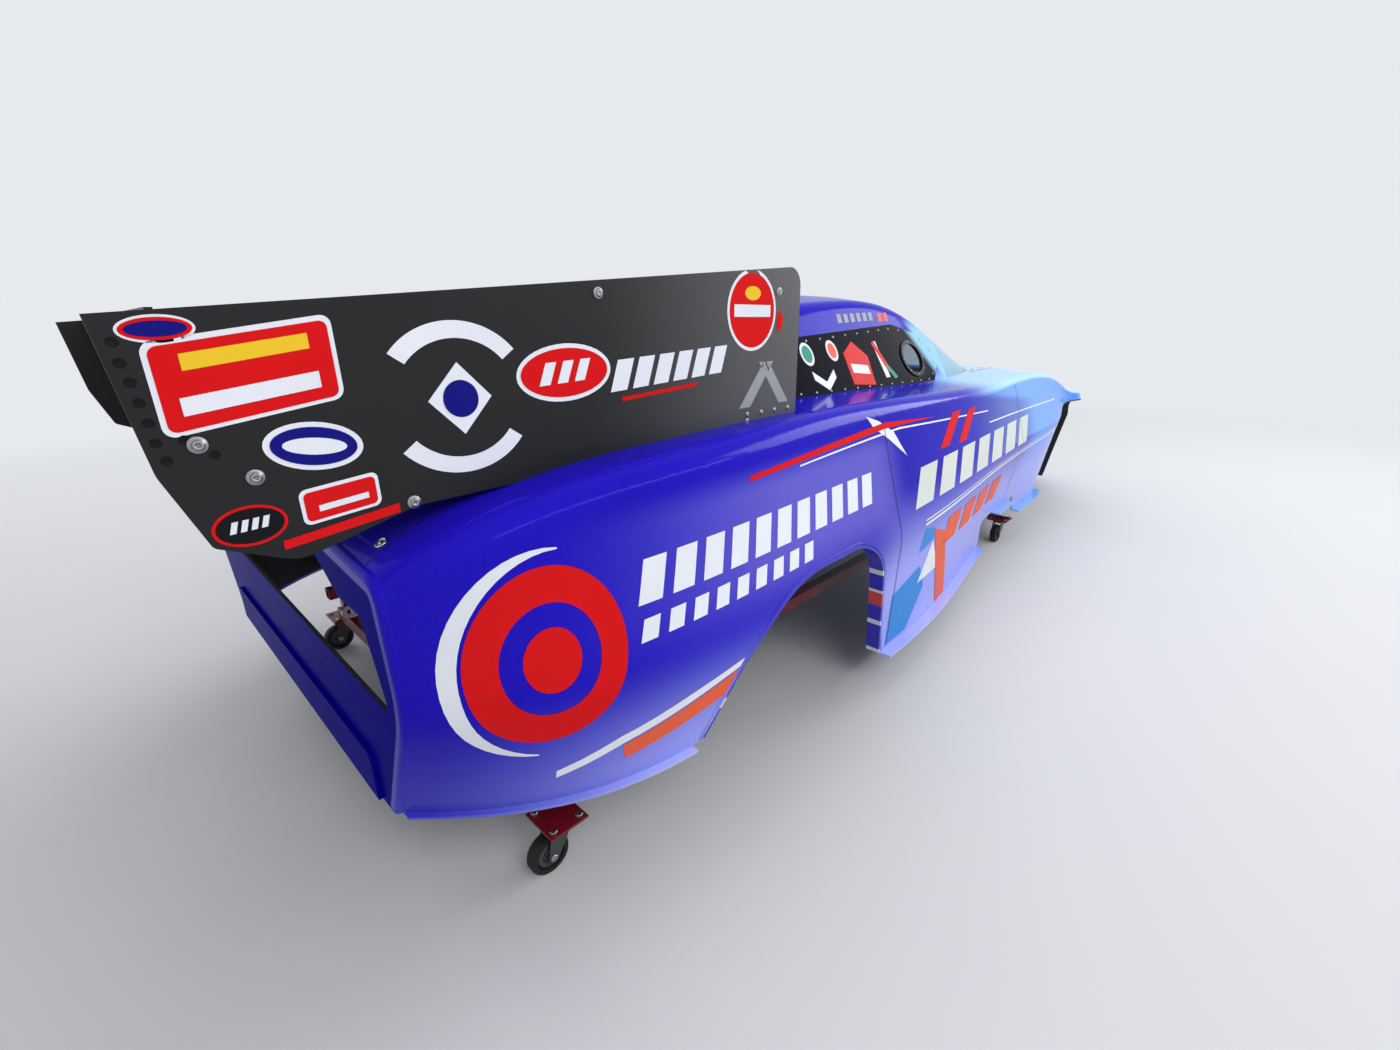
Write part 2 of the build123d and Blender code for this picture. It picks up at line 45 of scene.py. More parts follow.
# Layout. "Along" runs forward from the rear axle line, and at() turns it into the frame's X. Outlines,
# places on a surface, fittings and the casters' measures are in millimetres, all else is in metres.
REAR_AXLE = -1.416
SIDES = {"right": -1, "left": 1}

# The windshield pillar leans back: along plus this share of the height is the same all the way up
PILLAR_LEAN = 0.9

# Window port: its middle, and the half width and half height of the oval that its screws stand on
PORT_MIDDLE = (1340, 1072)
PORT_SCREW_OVAL = (97.5, 66.5)

# Casters: the king pins' places, the axle behind and below them, and the parts beside the wheel
KING_PIN_ALONG = {"rear": -695, "front": 2330}
KING_PIN_ASIDE = 745
CASTER_TRAIL = 33
AXLE_UP = 50
PLATE_TOP_UP = 136
BOLT_PLACES = ((-35, -40), (35, -40), (35, 40), (-35, 40))
NUT_ASIDE = 22.9
HUB_ASIDE = 9.2

# Film layers: how far each stands off the surface. Where two colours cross, they are in two layers.
UNDER_LAYER = 0.0005
PLAIN_LAYER = 0.0006
WHITE_LAYER = 0.0008
RED_LAYER = 0.0009
WINDOW_LAYER = 0.0010
UPPER_LAYER = 0.0012
INSET_LAYER = 0.0013
FINE_LAYER = 0.0014
MARK_LAYER = 0.0017

# Colours used more than once
ROYAL_BLUE = (0.012, 0.003, 0.50)
PAINTED_SKY_REFLECTION = (0.42, 0.68, 0.90)
GLASS_SKY_REFLECTION = (0.40, 0.66, 0.84)

# Camera, fitted to the photograph
CAMERA_PLACE = (-1.256 + REAR_AXLE, -1.749, 1.223)
CAMERA_YAW = math.radians(43.61)
CAMERA_DOWN = math.radians(18.79)
CAMERA_ROLL = math.radians(0.41)
FOCAL_PIXELS = 594.0
PHOTO_WIDTH = 1400.0
SENSOR = 36.0

# Colour of everything far behind the object
BACKDROP = (0.80, 0.82, 0.85, 1)


def at(along):
    """The frame's X for a distance forward of the rear axle line."""
    return along + REAR_AXLE


# Node helpers

class Shader:
    """A material's node tree with short calls for the nodes that it needs."""

    def __init__(self, name, **uniform):
        self.material = bpy.data.materials.new(name)
        self.material.use_nodes = True
        self.tree = self.material.node_tree
        self.surface = self.tree.nodes["Principled BSDF"]
        coordinates = self.add("ShaderNodeTexCoord")
        self.place = coordinates.outputs["Object"]
        self.normal = coordinates.outputs["Normal"]
        split = self.add("ShaderNodeSeparateXYZ")
        self.link(self.place, split.inputs[0])
        self.x, _, self.z = split.outputs
        for socket, value in uniform.items():
            self.surface.inputs[socket.replace("_", " ")].default_value = value

    def add(self, kind):
        return self.tree.nodes.new(kind)

    def link(self, output, target):
        self.tree.links.new(output, target)

    def feed(self, value, target):
        """Links an output, or sets a number or an opaque colour."""
        if isinstance(value, bpy.types.NodeSocket):
            self.link(value, target)
        else:
            target.default_value = (*value, 1.0) if isinstance(value, tuple) else value

    def math(self, operation, first, second):
        node = self.add("ShaderNodeMath")
        node.operation = operation
        for value, target in zip((first, second), node.inputs):
            self.feed(value, target)
        return node.outputs[0]

    def product(self, first, *others):
        """The values multiplied together."""
        for value in others:
            first = self.math("MULTIPLY", first, value)
        return first

    def between(self, value, start, full, fade, end):
        """0 up to start and from end on, 1 from full to fade, smooth between."""
        return self.product(self.ramp(value, start, full), self.ramp(value, end, fade))

    def ramp(self, value, low, high):
        """0 at low, 1 at high, smooth between. It falls where low is the larger of the two."""
        node = self.add("ShaderNodeMapRange")
        node.interpolation_type = "SMOOTHSTEP"
        self.feed(value, node.inputs["Value"])
        self.feed(low, node.inputs["From Min"])
        self.feed(high, node.inputs["From Max"])
        return node.outputs["Result"]

    def scaled(self, low, high, value):
        """A value from 0 to 1 made to run from low to high."""
        node = self.add("ShaderNodeMapRange")
        self.feed(value, node.inputs["Value"])
        node.inputs["To Min"].default_value = low
        node.inputs["To Max"].default_value = high
        return node.outputs["Result"]

    def mix(self, share, first, second):
        """The first colour, which turns into the second as the share goes from 0 to 1."""
        node = self.add("ShaderNodeMix")
        node.data_type = "RGBA"
        node.clamp_factor = True
        self.feed(share, node.inputs[0])
        self.feed(first, node.inputs[6])
        self.feed(second, node.inputs[7])
        return node.outputs[2]

    def noise(self, scale, detail=3.0):
        """Soft noise from 0 to 1 in the object's own coordinates."""
        texture = self.add("ShaderNodeTexNoise")
        texture.inputs["Scale"].default_value = scale
        texture.inputs["Detail"].default_value = detail
        self.link(self.place, texture.inputs["Vector"])
        return texture.outputs["Fac"]

    def colour(self, value):
        self.feed(value, self.surface.inputs["Base Color"])

    def roughness(self, value):
        self.feed(value, self.surface.inputs["Roughness"])

    def bump(self, height, distance, strength=1.0):
        """Relief that is the distance deep where the height is 1."""
        node = self.add("ShaderNodeBump")
        node.inputs["Distance"].default_value = distance
        node.inputs["Strength"].default_value = strength
        self.feed(height, node.inputs["Height"])
        self.link(node.outputs[0], self.surface.inputs["Normal"])


def sheen_of_use(name, colour, dark, low, high, grain, depth, **uniform):
    """A finish clouded between two colours, its roughness between low and high, with a fine relief.

    Grain is how fine the relief is, depth is how deep.
    """
    shader = Shader(name, **uniform)
    cloud = shader.noise(7.0)
    shader.colour(shader.mix(cloud, colour, dark))
    shader.roughness(shader.scaled(low, high, shader.noise(23.0)))
    shader.bump(shader.noise(grain, 2.0), depth)
    return shader.material


def body_paint(name, top, top_end, coat=0.28):
    """Deep blue wrap that pales towards the sills and turns sky blue in front.

    Ahead of the doors, what faces up takes the top colour, a painted reflection of the sky, as far as
    top_end along.
    """
    shader = Shader(name, Coat_Weight=coat, Coat_Roughness=0.03, Coat_IOR=1.22, Specular_IOR_Level=0.02)
    base = shader.mix(shader.noise(1.6, 2.0), ROYAL_BLUE, (0.006, 0.001, 0.30))

    # Lavender over the rear wheel opening
    along_arch = shader.between(shader.x, at(-0.80), at(0.0), at(0.40), at(0.62))
    above_arch = shader.between(shader.z, 0.52, 0.70, 0.84, 0.92)
    lavender = shader.scaled(0.0, 0.42, shader.product(along_arch, above_arch))
    base = shader.mix(lavender, base, (0.26, 0.24, 0.66))

    # Sky blue in front. It starts further back at the height of the hood.
    at_hood = shader.between(shader.z, 0.83, 0.93, 1.00, 1.06)
    drawn_back = shader.math("ADD", shader.x, shader.product(at_hood, 0.62))
    base = shader.mix(shader.ramp(drawn_back, at(2.00), at(2.32)), base, (0.075, 0.26, 0.84))

    # Painted reflection: what faces up ahead of the doors takes the top colour, as if it mirrored the sky
    facing = shader.add("ShaderNodeSeparateXYZ")
    shader.link(shader.normal, facing.inputs[0])
    painted_reflection_up = shader.product(shader.ramp(facing.outputs[2], 0.14, 0.55), shader.ramp(shader.z, 1.02, 0.96))
    ahead = shader.between(shader.x, at(1.2), at(1.9), at(top_end - 0.5), at(top_end))
    base = shader.mix(shader.product(painted_reflection_up, ahead), base, top)

    # Painted reflection: the pillar beside the windshield is painted pale, like the sky's glare on the
    # glass
    leaning = shader.math("ADD", shader.x, shader.product(shader.z, PILLAR_LEAN))
    pillar = shader.product(shader.ramp(leaning, at(2.47), at(2.54)), shader.ramp(shader.z, 0.94, 0.97),
                            shader.ramp(shader.z, 1.25, 1.18))
    base = shader.mix(pillar, base, (0.30, 0.56, 0.76))

    # Periwinkle low down, less of it on the tail and the nose
    on_door = shader.scaled(0.0, -0.12, shader.ramp(shader.x, at(0.18), at(0.60)))
    low_down = shader.ramp(shader.math("ADD", shader.z, on_door), 0.60, 0.28)
    ahead_of_tail = shader.scaled(0.10, 0.92, shader.ramp(shader.x, at(-1.02), at(-0.40)))
    behind_nose = shader.scaled(1.0, 0.1, shader.ramp(shader.x, at(2.80), at(3.30)))
    base = shader.mix(shader.product(low_down, ahead_of_tail, behind_nose), base, (0.36, 0.39, 0.88))

    base = shader.mix(shader.product(shader.noise(260.0, 1.0), 0.08), base, (0.10, 0.10, 0.80))
    shader.colour(base)
    shader.roughness(shader.scaled(0.14, 0.22, shader.noise(11.0)))
    shader.bump(shader.noise(5.0, 1.0), 0.0006, 0.2)
    return shader.material


def bare_moulding():
    """Bare cloth weave of the moulding's inside."""
    shader = Shader("bare_moulding", Specular_IOR_Level=0.4)
    checker = shader.add("ShaderNodeTexChecker")
    checker.inputs["Scale"].default_value = 240.0
    checker.inputs["Color1"].default_value = (0.008, 0.008, 0.009, 1)
    checker.inputs["Color2"].default_value = (0.026, 0.026, 0.028, 1)
    shader.link(shader.place, checker.inputs["Vector"])
    shader.colour(checker.outputs["Color"])
    shader.roughness(shader.scaled(0.35, 0.6, shader.noise(6.0)))
    shader.bump(checker.outputs["Fac"], 0.0004)
    return shader.material


def lip_paint():
    """Return lips of the rear wheel openings: blue with white and red bands across them."""
    shader = Shader("lip_paint", Coat_Weight=0.4, Coat_Roughness=0.04, Specular_IOR_Level=0.35)
    base = shader.mix(shader.noise(2.0), ROYAL_BLUE, (0.02, 0.02, 0.40))
    white = shader.mix(shader.noise(30.0), (0.72, 0.74, 0.80), (0.60, 0.62, 0.70))
    red = shader.mix(shader.noise(30.0), (0.62, 0.05, 0.05), (0.50, 0.04, 0.05))
    level = shader.math("ADD", shader.z, shader.product(shader.x, -0.12))
    bands = ((0.256, 0.280, white), (0.382, 0.400, white), (0.460, 0.512, red), (0.512, 0.522, white),
             (0.582, 0.602, white))
    for low, high, tint in bands:
        above = shader.math("GREATER_THAN", level, low)
        below = shader.math("LESS_THAN", level, high)
        base = shader.mix(shader.product(above, below), base, tint)
    shader.colour(base)
    shader.roughness(shader.scaled(0.2, 0.3, shader.noise(12.0)))
    return shader.material


def plate_finish():
    """Satin black sheet, a little greyer with dust towards its front end."""
    shader = Shader("plate_black", Specular_IOR_Level=0.22)
    black = shader.mix(shader.noise(7.0), (0.009, 0.009, 0.010), (0.015, 0.015, 0.016))
    forward = shader.ramp(shader.x, at(-0.60), at(0.22))
    dust = shader.product(forward, shader.scaled(0.4, 0.8, shader.noise(2.5)))
    shader.colour(shader.mix(dust, black, (0.16, 0.162, 0.168)))
    shader.roughness(shader.scaled(0.38, 0.5, shader.noise(23.0)))
    shader.bump(shader.noise(900.0, 2.0), 0.0002)
    return shader.material


def flange_paint():
    """Sill flanges: blue at the tail, pale lavender, then sky blue to the nose, the pale partly their own
    colour and partly a painted highlight.
    """
    shader = Shader("flange_paint", Coat_Weight=0.2, Coat_Roughness=0.05, Specular_IOR_Level=0.2)
    pale = shader.mix(shader.noise(3.0), (0.46, 0.50, 0.92), (0.36, 0.40, 0.88))
    pale = shader.mix(shader.ramp(shader.x, at(-1.0), at(-0.5)), (0.05, 0.05, 0.62), pale)
    shader.colour(shader.mix(shader.ramp(shader.x, at(1.3), at(2.2)), pale, (0.24, 0.48, 0.90)))
    shader.roughness(shader.scaled(0.2, 0.3, shader.noise(14.0)))
    return shader.material


def dress(material, *names):
    """Gives the named CAD nodes one material."""
    for name in names:
        mesh = nodes[name].data
        mesh.materials.clear()
        mesh.materials.append(material)


def sides(name):
    """The names of a node of the right side and of its twin on the left."""
    return [f"{name}_{side}" for side in SIDES]


# Top colours are painted sky reflections on up-facing surfaces: pale on the body and roof, mid blue on the
# hood
paint = body_paint("body_paint", PAINTED_SKY_REFLECTION, 4.2)
roof_paint = body_paint("roof_paint", PAINTED_SKY_REFLECTION, 4.2, 0.09)
hood_paint = body_paint("hood_paint", (0.014, 0.07, 0.46), 3.5)
# Painted shade: the tail's blue is a darker copy of the body's, as in the shade at the back
shaded_tail_paint = sheen_of_use("shaded_tail_paint", (0.003, 0.001, 0.26), (0.002, 0.001, 0.18), 0.2, 0.3, 60.0, 0.00005,
                          Specular_IOR_Level=0.0015)
moulding = bare_moulding()
port_black = sheen_of_use("port_black", (0.008, 0.008, 0.008), (0.015, 0.015, 0.015), 0.25, 0.4, 500.0,
                          0.0002, Specular_IOR_Level=0.03)
cart_red = sheen_of_use("cart_red", (0.19, 0.005, 0.014), (0.11, 0.003, 0.009), 0.25, 0.5, 300.0, 0.0004)
zinc = sheen_of_use("zinc", (0.42, 0.42, 0.44), (0.30, 0.30, 0.31), 0.28, 0.5, 400.0, 0.0002, Metallic=1.0)
machined = sheen_of_use("machined", (0.60, 0.60, 0.62), (0.50, 0.50, 0.52), 0.25, 0.4, 600.0, 0.0001,
                        Metallic=1.0)
fork_dark = sheen_of_use("fork_dark", (0.045, 0.048, 0.050), (0.026, 0.028, 0.029), 0.3, 0.5, 400.0, 0.0002)
tread = sheen_of_use("caster_tread", (0.005, 0.005, 0.005), (0.011, 0.011, 0.010), 0.5, 0.7, 500.0, 0.0004,
                     Specular_IOR_Level=0.3)
seam_dark = sheen_of_use("seam_dark", (0.006, 0.004, 0.05), (0.010, 0.008, 0.07), 0.5, 0.7, 300.0, 0.0002)


def vinyl(name, colour):
    """Printed vinyl film: even colour with faint clouding under a thin gloss."""
    dark = tuple(0.86 * part for part in colour)
    return sheen_of_use(name, colour, dark, 0.3, 0.4, 120.0, 0.00005, Specular_IOR_Level=0.03)


white_film = vinyl("white_film", (0.78, 0.80, 0.86))
red_film = vinyl("red_film", (0.68, 0.010, 0.012))
orange_film = vinyl("orange_film", (0.80, 0.13, 0.06))
cream_film = vinyl("cream_film", (0.66, 0.70, 0.66))
sky_film = vinyl("sky_film", (0.05, 0.26, 0.70))
navy_film = vinyl("navy_film", (0.010, 0.010, 0.20))
yellow_film = vinyl("yellow_film", (0.85, 0.55, 0.03))
grey_film = vinyl("grey_film", (0.34, 0.35, 0.37))
black_film = vinyl("black_film", (0.012, 0.012, 0.014))
teal_film = vinyl("teal_film", (0.03, 0.30, 0.22))


def window_sheet(name, tint, front_reflection, alpha_low, alpha_high, rough, shine):
    """A see-through sheet with a slight haze, and ahead of the port a painted reflection of the sky in the
    front colour.
    """
    shader = Shader(name, Specular_IOR_Level=shine)
    tinted = shader.mix(shader.noise(4.0), tint, tuple(0.8 * part for part in tint))
    leaning = shader.math("ADD", shader.x, shader.product(shader.z, PILLAR_LEAN))
    # Painted reflection of the sky ahead of the leaning line
    shader.colour(shader.mix(shader.ramp(leaning, at(2.41), at(2.50)), tinted, front_reflection))
    shader.roughness(shader.scaled(rough, rough + 0.05, shader.noise(9.0)))
    shader.feed(shader.scaled(alpha_low, alpha_high, shader.noise(3.0)), shader.surface.inputs["Alpha"])
    return shader.material


# Painted reflections: the clear sheet's pale blue and the dark sheet's pale front band stand for the sky
# mirrored in the glass
clear_sheet = window_sheet("clear_sheet", GLASS_SKY_REFLECTION, GLASS_SKY_REFLECTION, 0.50, 0.56, 0.05, 0.3)
dark_sheet = window_sheet("dark_sheet", (0.004, 0.004, 0.009), (0.30, 0.56, 0.72), 0.985, 0.995, 0.12,
                          0.004)

BODY_NODES = ("hood_panel", "nose_panel", "rear_deck", "roof_panel", "roof_hatch", "tail_panel",
              "injector_bezel", *sides("quarter"), *sides("door"), *sides("fender"))
dress(paint, *BODY_NODES)
dress(hood_paint, "hood_panel")
dress(roof_paint, "roof_panel", "roof_hatch")
dress(shaded_tail_paint, "tail_panel")
dress(flange_paint(), *sides("sill_flange"))
dress(lip_paint(), *sides("rear_arch_lip"))
dress(moulding, *sides("front_arch_lip"))
dress(plate_finish(), "spoiler_blade", *sides("spill_plate"))
dress(clear_sheet, "windshield")
dress(dark_sheet, *sides("side_window"))
dress(port_black, *sides("window_port"))
dress(machined, "spoiler_struts", "hatch_hinges", "mount_tube_rear", "mount_tube_front", "pivot_ears")
dress(cart_red, "cart_rails", "cart_beams", "cart_posts", "cart_plates", "cart_saddles")
CASTERS = [f"{end}_{side}" for end in KING_PIN_ALONG for side in SIDES]
dress(fork_dark, "caster_plates", *[f"caster_fork_{spot}" for spot in CASTERS])
dress(tread, *[f"caster_wheel_{spot}" for spot in CASTERS])


# Surfaces that the graphics and fittings lie on

def surface_of(*names, extra=None):
    """One search tree over the named CAD nodes, and a flat extra sheet if one is given."""
    points, faces = [], []
    for name in names:
        mesh = nodes[name].data
        first = len(points)
        points.extend(vertex.co.copy() for vertex in mesh.vertices)
        faces.extend(tuple(first + index for index in polygon.vertices) for polygon in mesh.polygons)
    if extra:
        faces.append(tuple(range(len(points), len(points) + len(extra))))
        points.extend(Vector(point) for point in extra)
    return BVHTree.FromPolygons(points, faces)


def bare_inside():
    """Gives the moulding's inner faces their bare weave: those that look at another part of the shell.

    A sheet below the body closes the shell, and faces that clearly look out to the side are left alone.
    """
    outward = 0.15
    start_off = 0.002
    reach = 3.0
    low_sheet = ((-2.1, -0.4, 0.1), (2.3, -0.4, 0.1), (2.3, 0.4, 0.1), (-2.1, 0.4, 0.1))
    shell = surface_of(*BODY_NODES, *sides("side_window"), *sides("sill_flange"), "windshield",
                       extra=low_sheet)
    for name in BODY_NODES:
        mesh = nodes[name].data
        mesh.materials.append(moulding)
        for polygon in mesh.polygons:
            if polygon.center.y * polygon.normal.y > outward:
                continue
            start = polygon.center + polygon.normal * start_off
            if shell.ray_cast(start, polygon.normal, reach)[0] is not None:
                polygon.material_index = 1


bare_inside()


class Canvas:
    """Lays flat outlines onto a surface, looking along one axis.

    An outline is cut into cells so that it follows the surface. Cell and rise are their sizes along the
    outline's two axes. A cut keeps off the outline's low end by a share of a cell, ROUNDING, and off its
    high end by LEAST_STRIP.
    """

    ROUNDING = 0.001
    LEAST_STRIP = 0.0002

    def __init__(self, tree, view, cell=40.0, rise=None):
        self.tree = tree
        self.view = view
        self.cells = (cell / 1000, (rise or cell) / 1000)

    def ray(self, first, second):
        """Where a point of an outline is seen from, and which way."""
        if self.view in SIDES:
            side = SIDES[self.view]
            return Vector((at(first), side * 2, second)), Vector((0, -side, 0))
        if self.view == "top":
            return Vector((at(first), second, 3)), Vector((0, 0, -1))
        end = 1 if self.view == "front" else -1
        return Vector((end * 4, first, second)), Vector((-end, 0, 0))

    def touch(self, first, second):
        """The surface's point and outward normal under a point of an outline, in metres."""
        start, aim = self.ray(first, second)
        spot, normal, _, _ = self.tree.ray_cast(start, aim)
        if spot is None:
            return None
        return spot, (-normal if normal.dot(aim) > 0 else normal)

    def lay(self, target, outline, lift):
        """Adds one outline to the target mesh, cut small enough to follow the surface."""
        sheet = bmesh.new()
        sheet.faces.new([sheet.verts.new((first / 1000, second / 1000, 0)) for first, second in outline])
        bmesh.ops.triangulate(sheet, faces=sheet.faces[:])
        for axis in (0, 1):
            reach = [vertex.co[axis] for vertex in sheet.verts]
            cell = self.cells[axis]
            cut = (math.floor(min(reach) / cell + self.ROUNDING) + 1) * cell
            direction = Vector((1, 0, 0)) if axis == 0 else Vector((0, 1, 0))
            while cut < max(reach) - self.LEAST_STRIP:
                parts = sheet.verts[:] + sheet.edges[:] + sheet.faces[:]
                bmesh.ops.bisect_plane(sheet, geom=parts, plane_co=direction * cut, plane_no=direction)
                cut += cell
        placed = {}
        for vertex in sheet.verts:
            found = self.touch(vertex.co.x, vertex.co.y)
            placed[vertex] = target.verts.new(found[0] + found[1] * lift) if found else None
        aim = self.ray(0, 0)[1]
        for face in sheet.faces:
            corners = [placed[vertex] for vertex in face.verts]
            if None in corners:
                continue
            made = target.faces.new(corners)
            made.normal_update()
            made.smooth = True
            if made.normal.dot(aim) > 0:
                made.normal_flip()
        sheet.free()


def mesh_piece(name, mesh_data, material, body="root"):
    """Turns a bmesh into a named piece that rides on a body."""
    mesh = bpy.data.meshes.new(name)
    mesh_data.to_mesh(mesh)
    mesh_data.free()
    mesh.materials.append(material)
    piece = bpy.data.objects.new(name, mesh)
    bpy.context.collection.objects.link(piece)
    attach(piece, body)


def film(name, material, outlines, canvases, lift=PLAIN_LAYER):
    """Thin printed shapes laid on the surfaces of one or more canvases."""
    target = bmesh.new()
    for canvas in canvases:
        for outline in outlines:
            canvas.lay(target, outline, lift)
    mesh_piece(name, target, material)


def oval(middle, half_wide, half_tall, turn=0.0, steps=40):
    """An oval outline."""
    cos, sin = math.cos(math.radians(turn)), math.sin(math.radians(turn))
    outline = []
    for step in range(steps):
        angle = 2 * math.pi * step / steps
        wide, tall = half_wide * math.cos(angle), half_tall * math.sin(angle)
        outline.append((middle[0] + wide * cos - tall * sin, middle[1] + wide * sin + tall * cos))
    return outline


def band(middle, half_wide, half_tall, inner_from, inner_to, start, end, steps=24):
    """Quads along an oval arc, as wide as its inner radius leaves.

    That radius is a share of the outer one: inner_from at both ends of the arc, inner_to midway.
    """
    quads = []
    for step in range(steps):
        corners = []
        for share, outer in ((step, True), (step + 1, True), (step + 1, False), (step, False)):
            angle = math.radians(start + (end - start) * share / steps)
            bulge = math.sin(math.pi * share / steps)
            radius = 1.0 if outer else inner_from + (inner_to - inner_from) * bulge
            corners.append((middle[0] + half_wide * radius * math.cos(angle),
                            middle[1] + half_tall * radius * math.sin(angle)))
        quads.append(corners)
    return quads


def slanted_row(foot_from, foot_to, tall, lean, count, fill):
    """A row of slanted blocks, in place of words of the same size."""
    blocks = []
    run, rise = foot_to[0] - foot_from[0], foot_to[1] - foot_from[1]
    for number in range(count):
        begin = number / count
        finish = (number + fill) / count
        low_first = (foot_from[0] + run * begin, foot_from[1] + rise * begin)
        low_last = (foot_from[0] + run * finish, foot_from[1] + rise * finish)
        blocks.append([low_first, low_last, (low_last[0] + lean, low_last[1] + tall),
                       (low_first[0] + lean, low_first[1] + tall)])
    return blocks


def rounded_panel(low, high, lean, radius, steps=5):
    """A slanted panel with rounded corners."""
    outline = []
    corners = ((high[0], low[1], -90), (high[0], high[1], 0), (low[0], high[1], 90), (low[0], low[1], 180))
    for across, up, turn in corners:
        inner = (across - radius if across == high[0] else across + radius,
                 up - radius if up == high[1] else up + radius)
        for step in range(steps + 1):
            angle = math.radians(turn + 90 * step / steps)
            first = inner[0] + radius * math.cos(angle)
            second = inner[1] + radius * math.sin(angle)
            outline.append((first, second + lean * (first - low[0])))
    return outline


def mirrored(*outlines):
    """Each outline on the right side of the car, then each on the left. They are seen from above."""
    return [[(along, side * across) for along, across in outline]
            for side in SIDES.values() for outline in outlines]


def both_sides(paired, cell, rise=None, shared=()):
    """A canvas for each side of the car, over its own of the paired nodes and over the shared ones."""
    return [Canvas(surface_of(*[f"{name}_{side}" for name in paired], *shared), side, cell, rise)
            for side in SIDES]


body_sides = both_sides(("quarter", "door", "fender", "sill_flange"), 40, 10, ("roof_panel", "nose_panel"))
plates = both_sides(("spill_plate",), 400)
glass_sides = both_sides(("side_window", "window_port"), 60)
roof_sides = both_sides((), 20, 5, ("roof_panel",))
upper = Canvas(surface_of("hood_panel", "rear_deck", "roof_panel", "roof_hatch", "nose_panel",
                          "injector_bezel", *sides("quarter"), *sides("fender")), "top", 20)
shield = Canvas(surface_of("windshield"), "top")
nose_view = Canvas(surface_of("nose_panel", "hood_panel", *sides("fender")), "front", 16)

# Stripes and shapes on both body sides, along and up from the rear axle
film("side_white", white_film, [
    *band((-768, 650), 178, 212, 0.985, 0.84, 78, 262),
    *slanted_row((-585, 702), (372, 704), 88, 26, 11, 0.68),
    *slanted_row((-590, 626), (20, 636), 46, 14, 9, 0.6),
    [(-760, 364), (-632, 404), (-318, 463), (-304, 482), (-470, 456), (-640, 424), (-760, 383)],
    [(700, 330), (890, 335), (800, 470)],
    [(400, 950), (470, 930), (560, 885), (628, 800), (520, 868), (430, 915)],
    [(0, 872), (600, 889), (1500, 850), (1500, 855), (600, 895), (0, 876)],
    [(700, 548), (2880, 622), (2880, 631), (700, 558)],
    [(700, 566), (2880, 640), (2880, 644), (700, 571)],
    [(1500, 800), (2700, 790), (2700, 796), (1500, 806)],
], body_sides, WHITE_LAYER)
film("side_red", red_film, [
    *band((-765, 652), 146, 178, 0.62, 0.62, 0, 360, 48),
    oval((-765, 652), 52, 64),
    [(-214, 876), (510, 902), (900, 896), (510, 921), (-214, 888)],
    [(905, 780), (995, 780), (1165, 892), (1072, 892)],
    [(1090, 774), (1180, 774), (1345, 886), (1255, 886)],
], body_sides, RED_LAYER)
film("side_orange", orange_film, [
    [(-627, 360), (-357, 406), (-320, 458), (-632, 399)],
    [(800, 512), (930, 472), (1072, 158), (950, 158)],
    *slanted_row((911, 412), (1760, 420), 108, 38, 4, 0.74),
], body_sides, UPPER_LAYER)
film("side_cream", cream_film, slanted_row((625, 622), (2090, 646), 124, 92, 7, 0.72), body_sides,
     WHITE_LAYER)
film("side_sky", sky_film, [
    [(490, 352), (700, 398), (770, 300), (650, 162), (490, 162)],
    [(672, 452), (800, 472), (800, 520), (706, 536)],
], body_sides, UNDER_LAYER)

# Stripes that taper along the hood and down the nose
film("hood_white", white_film, mirrored(
    [(2040, 350), (2040, 312), (3526, 205), (3526, 226)],
    [(3534, 226), (3534, 205), (3950, 150), (3950, 164)],
), [upper])
film("hood_red", red_film, mirrored(
    [(2820, 236), (2820, 210), (3526, 168), (3526, 184)],
    [(3534, 184), (3534, 168), (3950, 122), (3950, 134)],
), [upper], RED_LAYER)

# A small row on the roof's side, above each window
film("roof_row", grey_film, slanted_row((820, 1218), (1120, 1228), 32, 8, 6, 0.62), roof_sides)
film("roof_mark", orange_film, slanted_row((1145, 1222), (1255, 1226), 34, 10, 2, 0.7), roof_sides)

# Stickers on the spill plates
film("plate_white", white_film, [
    rounded_panel((-1184, 1092), (-978, 1206), 0.16, 14),
    oval((-1163, 1221), 37, 16, 3),
    *band((-808, 1108), 132, 122, 0.78, 0.78, 38, 142),
    *band((-808, 1108), 132, 122, 0.78, 0.78, 218, 322),
    [(-862, 1108), (-808, 1050), (-754, 1108), (-808, 1166)],
    oval((-600, 1137), 104, 52, 2),
    *slanted_row((-498, 1092), (-150, 1112), 62, 22, 6, 0.74),
    oval((-50, 1250), 94, 94),
    oval((-1028, 1062), 62, 34, -8),
    rounded_panel((-1062, 950), (-955, 1002), 0.10, 10),
    [(-1098, 918), (-925, 938), (-925, 962), (-1098, 940)],
], plates, UNDER_LAYER)
film("plate_red", red_film, [
    rounded_panel((-1178, 1098), (-984, 1200), 0.16, 10),
    oval((-1163, 1221), 34, 13, 3),
    oval((-600, 1137), 96, 44, 2),
    [(-470, 1072), (-250, 1086), (-250, 1094), (-470, 1080)],
    oval((-50, 1250), 86, 86),
    rounded_panel((-1057, 955), (-960, 997), 0.10, 7),
    [(-1092, 923), (-931, 942), (-931, 957), (-1092, 936)],
    oval((-1123, 967), 43, 28, 2),
    oval((62, 1226), 13, 24),
], plates, RED_LAYER)
film("plate_top", navy_film, [
    oval((-1163, 1221), 29, 9, 3),
    oval((-1028, 1062), 54, 27, -8),
    oval((-808, 1108), 30, 30),
], plates, INSET_LAYER)
